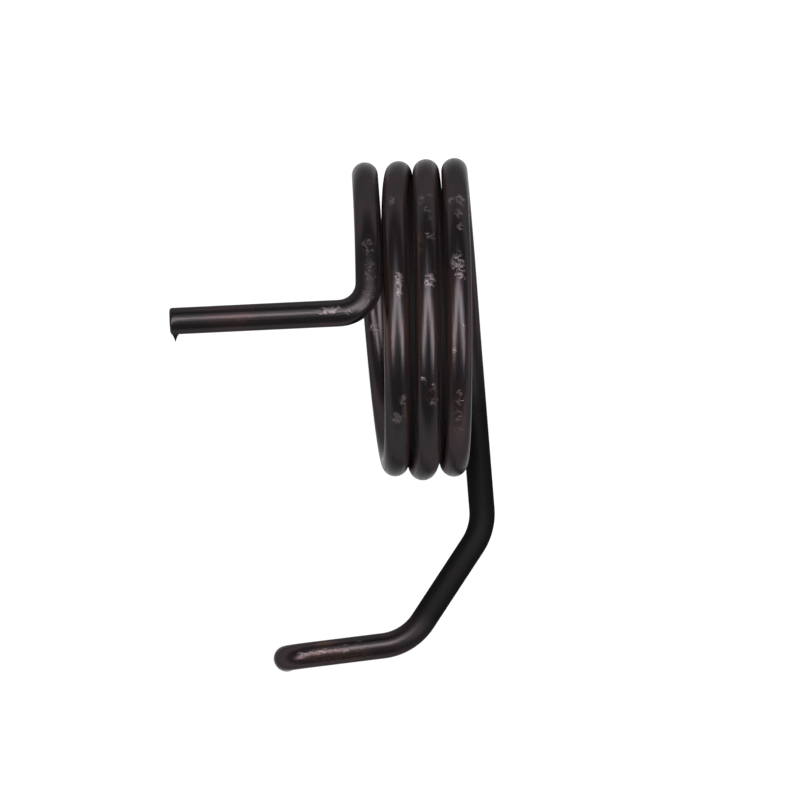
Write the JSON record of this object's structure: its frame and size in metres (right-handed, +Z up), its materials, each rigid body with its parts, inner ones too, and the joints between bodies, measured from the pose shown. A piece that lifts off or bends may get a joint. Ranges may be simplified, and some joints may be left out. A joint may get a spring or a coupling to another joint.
{
  "type": "torsion spring",
  "caption": "Left-hand torsion spring of round wire: an open-wound coil with a straight axial leg and a cranked arm that ends in a hook.",
  "frame": {"origin": "on the coil's axis, midway along the coil", "axes": "+X along the coil's axis, away from the cut end of the axial leg; +Z up, square to the surface that the spring lies on; the arm reaches towards -Y"},
  "size_m": [0.0362, 0.0591, 0.0369],
  "materials": {
    "spring_wire": "satin"
  },
  "bodies": {
    "root": {"torsion_spring": "spring_wire"}
  },
  "joints": []
}
